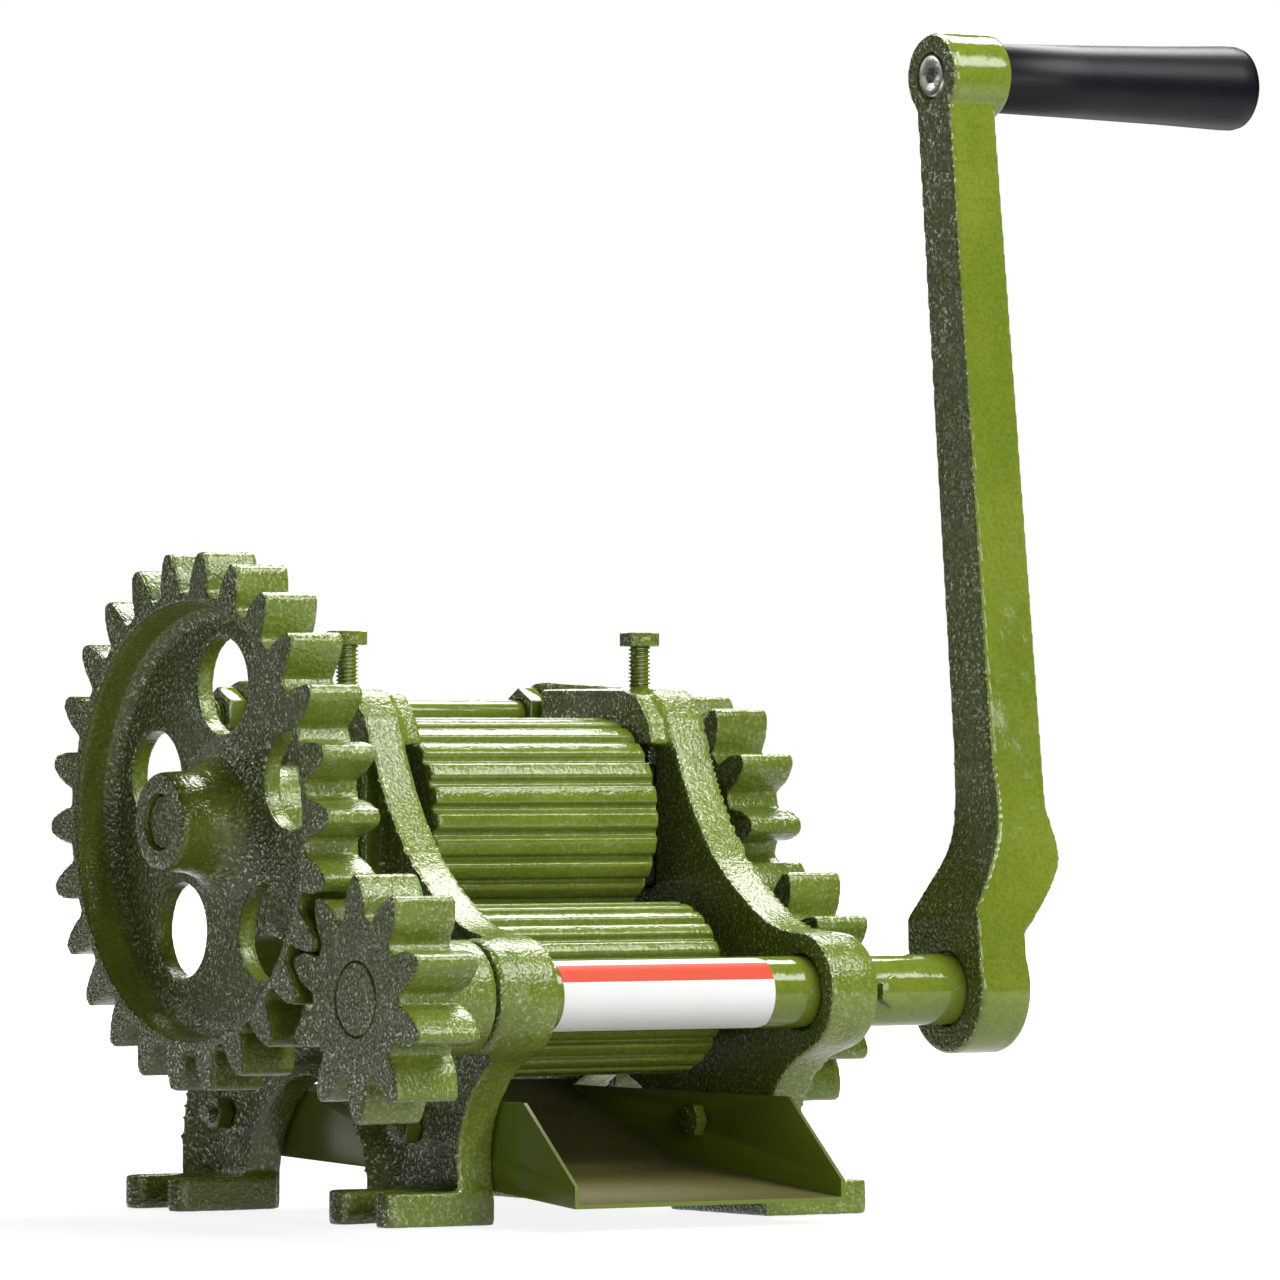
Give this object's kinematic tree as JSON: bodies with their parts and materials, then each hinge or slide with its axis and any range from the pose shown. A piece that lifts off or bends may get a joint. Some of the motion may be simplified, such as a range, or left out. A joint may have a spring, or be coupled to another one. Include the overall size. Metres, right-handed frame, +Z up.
{
  "type": "hand-cranked cane mill",
  "caption": "Bench cane mill with fluted rollers between cast side frames, geared to a long hand crank, with a sheet tray below.",
  "frame": {"origin": "middle of the footprint of the whole mill, at the soles of its feet", "axes": "+X along the rollers towards the crank, -Y to the front where the juice tray opens, +Z up"},
  "size_m": [0.4154, 0.2522, 0.4233],
  "materials": {
    "green_enamel": "glossy green enamel over rough casting",
    "bare_casting": "dark oiled casting",
    "steel": "turned steel",
    "black_plastic": "satin moulded plastic",
    "label_paper": "plain white film with an orange band"
  },
  "bodies": {
    "frame_set": {"juice_tray": "green_enamel", "left_front_tray_bolt": "green_enamel", "left_front_tray_nut": "green_enamel", "left_inner_tie_nut": "green_enamel", "left_outer_tie_nut": "green_enamel", "left_rear_tray_bolt": "green_enamel", "left_rear_tray_nut": "green_enamel", "left_side_frame": "green_enamel", "right_front_tray_bolt": "green_enamel", "right_front_tray_nut": "green_enamel", "right_inner_tie_nut": "green_enamel", "right_outer_tie_nut": "green_enamel", "right_rear_tray_bolt": "green_enamel", "right_rear_tray_nut": "green_enamel", "right_side_frame": "green_enamel", "tie_rod": "green_enamel"},
    "top_bearings": {"left_top_bearing": "bare_casting", "right_top_bearing": "bare_casting"},
    "left_adjuster": {"left_adjusting_bolt": "green_enamel"},
    "right_adjuster": {"right_adjusting_bolt": "green_enamel"},
    "top_roller_set": {"top_roller": "green_enamel", "top_shaft": "steel", "top_roller_gear": "green_enamel", "drive_gear": "green_enamel", "top_roller_key": "steel", "top_gear_key": "steel", "drive_gear_key": "steel"},
    "front_roller_set": {"front_roller": "green_enamel", "front_shaft": "steel", "front_roller_gear": "green_enamel", "front_roller_key": "steel", "front_gear_key": "steel"},
    "rear_roller_set": {"rear_roller": "green_enamel", "rear_shaft": "steel", "rear_roller_gear": "green_enamel", "rear_roller_key": "steel", "rear_gear_key": "steel"},
    "crank_set": {"drive_shaft": "green_enamel", "drive_pinion": "green_enamel", "pinion_key": "steel", "crank_arm": "green_enamel", "crank_key": "steel", "stop_bolt": "green_enamel", "label": "label_paper", "grip_bolt": "steel", "grip_nut": "steel"},
    "handle_grip": {"grip": "black_plastic"}
  },
  "joints": [
    {"name": "crank_spin", "type": "hinge", "parent": "frame_set", "child": "crank_set", "pos_m": [-0.06765, -0.08473, 0.08006], "axis": [1, 0, 0], "continuous": true},
    {"name": "top_roller_lift", "type": "slide", "parent": "frame_set", "child": "top_bearings", "axis": [0, 0, 1], "range_m": [0, 0.00141]},
    {"name": "left_adjusting_screw", "type": "hinge", "parent": "top_bearings", "child": "left_adjuster", "pos_m": [-0.1298, 0.0261, 0.162], "axis": [0, 0, 1], "range_deg": [0, 361]},
    {"name": "right_adjusting_screw", "type": "hinge", "parent": "top_bearings", "child": "right_adjuster", "pos_m": [-0.0055, 0.0261, 0.162], "axis": [0, 0, 1], "range_deg": [0, 361]},
    {"name": "top_roller_spin", "type": "hinge", "parent": "top_bearings", "child": "top_roller_set", "pos_m": [-0.06765, 0.0261, 0.13999], "axis": [1, 0, 0], "continuous": true},
    {"name": "front_roller_spin", "type": "hinge", "parent": "frame_set", "child": "front_roller_set", "pos_m": [-0.06765, -0.02271, 0.08044], "axis": [1, 0, 0], "continuous": true},
    {"name": "rear_roller_spin", "type": "hinge", "parent": "frame_set", "child": "rear_roller_set", "pos_m": [-0.06765, 0.07491, 0.08044], "axis": [1, 0, 0], "continuous": true},
    {"name": "grip_spin", "type": "hinge", "parent": "crank_set", "child": "handle_grip", "pos_m": [0.10235, -0.05086, 0.40782], "axis": [1, 0, 0], "continuous": true}
  ],
  "couplings": [
    {"joint": "top_roller_spin", "follows": "crank_spin", "ratio": -0.38462},
    {"joint": "front_roller_spin", "follows": "crank_spin", "ratio": 0.38462},
    {"joint": "rear_roller_spin", "follows": "crank_spin", "ratio": 0.38462},
    {"joint": "left_adjusting_screw", "follows": "top_roller_lift", "rad_per_m": 4456.2},
    {"joint": "right_adjusting_screw", "follows": "top_roller_lift", "rad_per_m": 4456.2}
  ]
}
